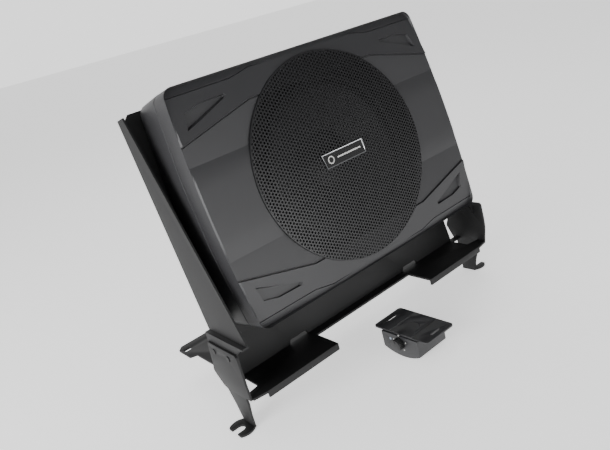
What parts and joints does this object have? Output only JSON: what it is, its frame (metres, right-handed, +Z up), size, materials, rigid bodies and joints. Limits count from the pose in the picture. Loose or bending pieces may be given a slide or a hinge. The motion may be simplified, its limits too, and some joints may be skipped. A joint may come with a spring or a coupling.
{
  "type": "powered car subwoofer",
  "caption": "Flat powered under-seat subwoofer with a round perforated grille, held leaning on a folded steel floor bracket with hooked legs, with its small wired bass remote.",
  "frame": {"origin": "midway between the round ends of the two hook slots, on the surface the hooks rest on", "axes": "+Z up, -Y out of the grille towards the listener, +X to the right seen from the front"},
  "size_m": [0.423, 0.2475, 0.3577],
  "materials": {
    "cabinet_abs": "fine-grained moulded black ABS",
    "rubber": "matt moulded rubber",
    "grille_steel": "semi-gloss black powder coat on perforated steel",
    "badge_plastic": "gloss black with a plated rim",
    "basket_steel": "black painted pressed steel",
    "foam_gasket": "matt foam",
    "zinc_screw": "zinc plated",
    "cone_paper": "matt black pressed cone",
    "coil_former": "satin",
    "copper": "enamelled copper",
    "spider_cloth": "impregnated cloth",
    "magnet_steel": "zinc plated",
    "ferrite": "ground ferrite",
    "brass": "plated",
    "lead_sleeve": "satin PVC",
    "circuit_board": "solder resist on glass epoxy",
    "aluminium": "extruded, satin",
    "component_black": "moulded epoxy",
    "component_grey": "pressed tinplate",
    "capacitor_sleeve": "shrink sleeve",
    "panel_plastic": "fine-grained black",
    "knob_plastic": "satin black",
    "slider_plastic": "satin white",
    "fuse_plastic": "translucent amber",
    "lamp": "clear tinted",
    "bracket_steel": "satin black powder coat",
    "black_rivet": "black painted",
    "remote_abs": "fine-grained moulded black ABS"
  },
  "bodies": {
    "cabinet": {"front_cover": "cabinet_abs", "rear_shell": "cabinet_abs", "shell_seal": "rubber", "grille": "grille_steel", "badge": "badge_plastic", "driver_basket": "basket_steel", "basket_gasket": "foam_gasket", "driver_screws": "black_rivet", "surround": "rubber", "spider": "spider_cloth", "top_plate": "magnet_steel", "magnet": "ferrite", "yoke": "magnet_steel", "driver_terminals": "brass", "speaker_leads": "lead_sleeve", "amplifier_board": "circuit_board", "heat_sink": "aluminium", "power_transistors": "component_black", "toroid_coils": "copper", "capacitors": "capacitor_sleeve", "board_screws": "zinc_screw", "control_panel": "panel_plastic", "trim_pots": "component_grey", "phase_switch": "component_grey", "rca_sockets": "brass", "power_socket": "panel_plastic", "fuse": "fuse_plastic", "remote_socket": "panel_plastic", "power_lamp": "lamp", "shell_screws": "zinc_screw", "carrier_plate": "bracket_steel", "carrier_bolts": "zinc_screw", "base_frame": "bracket_steel", "left_leg": "bracket_steel", "right_leg": "bracket_steel", "leg_rivets": "black_rivet", "lip_rivets": "black_rivet"},
    "cone_assembly": {"cone": "cone_paper", "dust_cap": "cone_paper", "coil_former": "coil_former", "coil_winding": "copper"},
    "remote": {"remote_housing": "remote_abs", "remote_plate": "remote_abs", "remote_pot": "component_grey", "remote_board": "circuit_board", "remote_lamp": "lamp", "remote_jack": "panel_plastic", "remote_screws": "zinc_screw"},
    "level_knob": {"level_knob": "knob_plastic"},
    "crossover_knob": {"crossover_knob": "knob_plastic"},
    "boost_knob": {"boost_knob": "knob_plastic"},
    "phase_slider": {"phase_slider": "slider_plastic"},
    "remote_knob": {"remote_knob": "knob_plastic"}
  },
  "joints": [
    {"name": "cone_stroke", "type": "slide", "parent": "cabinet", "child": "cone_assembly", "axis": [0, -0.9781, 0.2079], "range_m": [-0.006, 0.006], "stiffness_N_per_m": 1800, "deforming": ["surround", "spider"]},
    {"name": "level_turn", "type": "hinge", "parent": "cabinet", "child": "level_knob", "pos_m": [0.168, 0.03707, 0.29333], "axis": [1, 0, 0], "range_deg": [-135, 135]},
    {"name": "crossover_turn", "type": "hinge", "parent": "cabinet", "child": "crossover_knob", "pos_m": [0.168, 0.03956, 0.30506], "axis": [1, 0, 0], "range_deg": [-135, 135]},
    {"name": "boost_turn", "type": "hinge", "parent": "cabinet", "child": "boost_knob", "pos_m": [0.168, 0.04206, 0.3168], "axis": [1, 0, 0], "range_deg": [-135, 135]},
    {"name": "phase_slide", "type": "slide", "parent": "cabinet", "child": "phase_slider", "axis": [0, 0.2079, 0.9781], "range_m": [0, 0.004]},
    {"name": "remote_lift", "type": "slide", "parent": "cabinet", "child": "remote", "axis": [0, 0, 1], "range_m": [0, 0.06]},
    {"name": "remote_turn", "type": "hinge", "parent": "remote", "child": "remote_knob", "pos_m": [-0.015, -0.062, 0.018], "axis": [1, 0, 0], "range_deg": [-150, 150]}
  ]
}
